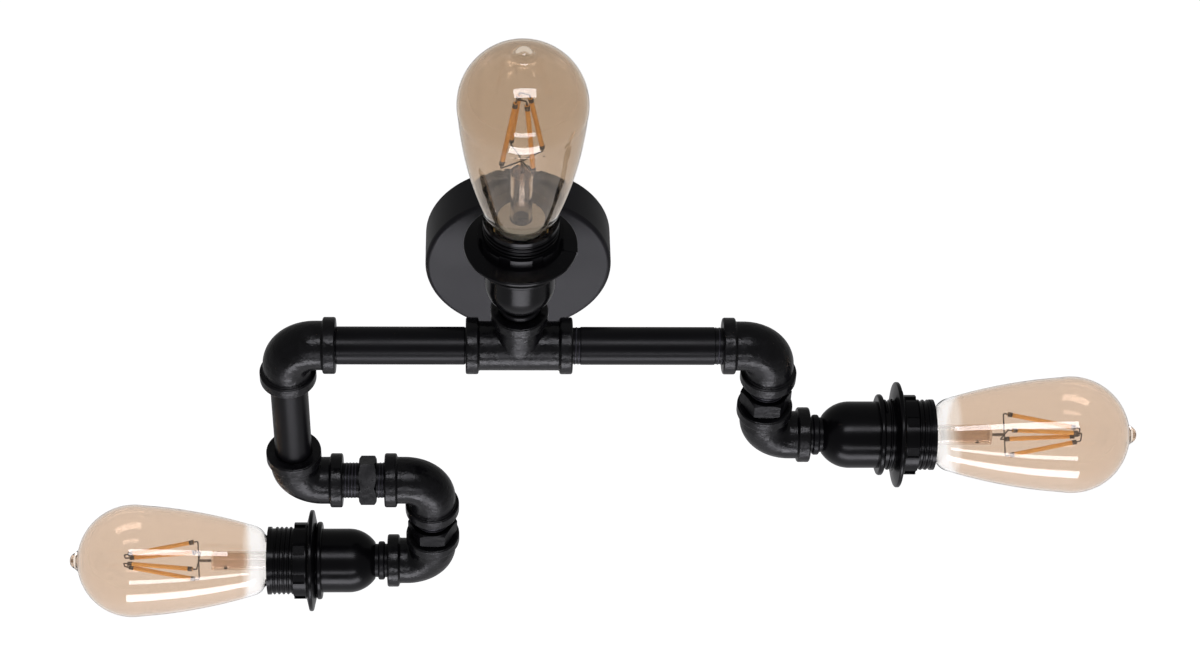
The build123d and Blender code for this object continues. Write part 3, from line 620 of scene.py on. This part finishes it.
# %% Tree: leaning sleeves on a circle
sleeve_tree, sleeve_in, sleeve_out = new_tree("stick_sleeves", [
    ("Circle", "NodeSocketFloat"), ("Turn", "NodeSocketRotation"), ("Lean", "NodeSocketFloat"),
    ("Radius", "NodeSocketFloat"), ("Length", "NodeSocketFloat"),
])
stick_count = 4
sleeve_sides = 16
circle = sleeve_tree.nodes.new("GeometryNodeMeshCircle")
circle.inputs["Vertices"].default_value = stick_count
sleeve_tree.links.new(sleeve_in.outputs["Circle"], circle.inputs["Radius"])
turned_circle = sleeve_tree.nodes.new("GeometryNodeTransform")
sleeve_tree.links.new(sleeve_in.outputs["Turn"], turned_circle.inputs["Rotation"])
sleeve_tree.links.new(circle.outputs["Mesh"], turned_circle.inputs["Geometry"])
sleeve = sleeve_tree.nodes.new("GeometryNodeMeshCylinder")
sleeve.inputs["Vertices"].default_value = sleeve_sides
sleeve_tree.links.new(sleeve_in.outputs["Radius"], sleeve.inputs["Radius"])
sleeve_tree.links.new(sleeve_in.outputs["Length"], sleeve.inputs["Depth"])
point = sleeve_tree.nodes.new("GeometryNodeInputPosition")
inward = sleeve_tree.nodes.new("ShaderNodeVectorMath")
inward.operation = "NORMALIZE"
sleeve_tree.links.new(point.outputs["Position"], inward.inputs[0])
leaning = sleeve_tree.nodes.new("ShaderNodeVectorMath")
leaning.operation = "SCALE"
sleeve_tree.links.new(inward.outputs["Vector"], leaning.inputs[0])
sleeve_tree.links.new(sleeve_in.outputs["Lean"], leaning.inputs["Scale"])
upward = sleeve_tree.nodes.new("ShaderNodeVectorMath")
upward.operation = "ADD"
upward.inputs[1].default_value = (0, 0, 1)
sleeve_tree.links.new(leaning.outputs["Vector"], upward.inputs[0])
tilt = sleeve_tree.nodes.new("FunctionNodeAlignRotationToVector")
tilt.axis = "Z"
sleeve_tree.links.new(upward.outputs["Vector"], tilt.inputs["Vector"])
spread = sleeve_tree.nodes.new("GeometryNodeInstanceOnPoints")
sleeve_tree.links.new(turned_circle.outputs["Geometry"], spread.inputs["Points"])
sleeve_tree.links.new(sleeve.outputs["Mesh"], spread.inputs["Instance"])
sleeve_tree.links.new(tilt.outputs["Rotation"], spread.inputs["Rotation"])
close_tree(sleeve_tree, sleeve_in, spread.outputs["Instances"], sleeve_out)
print("tree:", sleeve_tree.name, "with", len(sleeve_tree.nodes), "nodes")

# %% Sleeves at both ends of the sticks
stick_foot = 0.110
stick_length = 0.038
foot_radius = 0.0115
top_radius = 0.004
cage_turn = (0, 0, math.radians(28))
stick_rise = math.sqrt(stick_length ** 2 - (foot_radius - top_radius) ** 2)
stick_lean = (top_radius - foot_radius) / stick_rise
sleeve_length = 0.0026
sleeve_radius = 0.00132
for lamp in lamps:
    for end, share in (("foot", 0.0), ("top", 1.0)):
        inset = sleeve_length / 2 * (1 - 2 * share)
        height = stick_foot + stick_rise * share + inset
        circle_radius = foot_radius + (top_radius - foot_radius) * share + stick_lean * inset
        from_tree(
            f"{lamp.name}_stick_{end}_sleeves", sleeve_tree, lamp.at(height), lamp.bulb_body, "support_wire",
            Circle=circle_radius, Turn=cage_turn, Lean=stick_lean, Radius=sleeve_radius,
            Length=sleeve_length, Finish=wire_metal,
        )
print("sleeves lean", round(math.degrees(math.atan(-stick_lean)), 1), "degrees to the axis")

# %% [markdown]
# ## Insulating cups in the bulbs' necks
#
# Looking down into a bulb, a cream disc closes the neck round the glass stem. It is a shallow cup turned
# round the axis, so its half outline is spun: a list of radius and height pairs becomes rings of points,
# joined by faces. The outline is closed, so the cup has a real wall and no open seam.

# %% Cups turned from one outline
cup_outline = [
    (0.0058, 0.0681), (0.0119, 0.0681), (0.0121, 0.0679), (0.0113, 0.0664), (0.0110, 0.0650),
    (0.0110, 0.0586), (0.0107, 0.0586), (0.0107, 0.0650), (0.0110, 0.0665), (0.0117, 0.0677),
    (0.0058, 0.0677),
]
cup_steps = 64


def turned_mesh(name, outline, steps):
    """Mesh of a closed outline of (radius, height) turned round Z."""
    points = []
    for step in range(steps):
        angle = 2 * math.pi * step / steps
        for radius, height in outline:
            points.append((radius * math.cos(angle), radius * math.sin(angle), height))
    count = len(outline)
    faces = []
    for step in range(steps):
        here, there = step * count, (step + 1) % steps * count
        for index in range(count):
            after = (index + 1) % count
            faces.append((here + index, here + after, there + after, there + index))
    mesh = bpy.data.meshes.new(name)
    mesh.from_pydata(points, [], faces)
    return mesh


for lamp in lamps:
    cup_mesh = turned_mesh(f"{lamp.name}_neck_cup", cup_outline, cup_steps)
    cup_mesh.transform(lamp.at(0.0))
    cup_mesh.materials.append(cup_cream)
    cup = bpy.data.objects.new(f"{lamp.name}_neck_cup", cup_mesh)
    bpy.context.scene.collection.objects.link(cup)
    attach(cup, lamp.bulb_body)
print("cup faces:", len(cup_mesh.polygons))
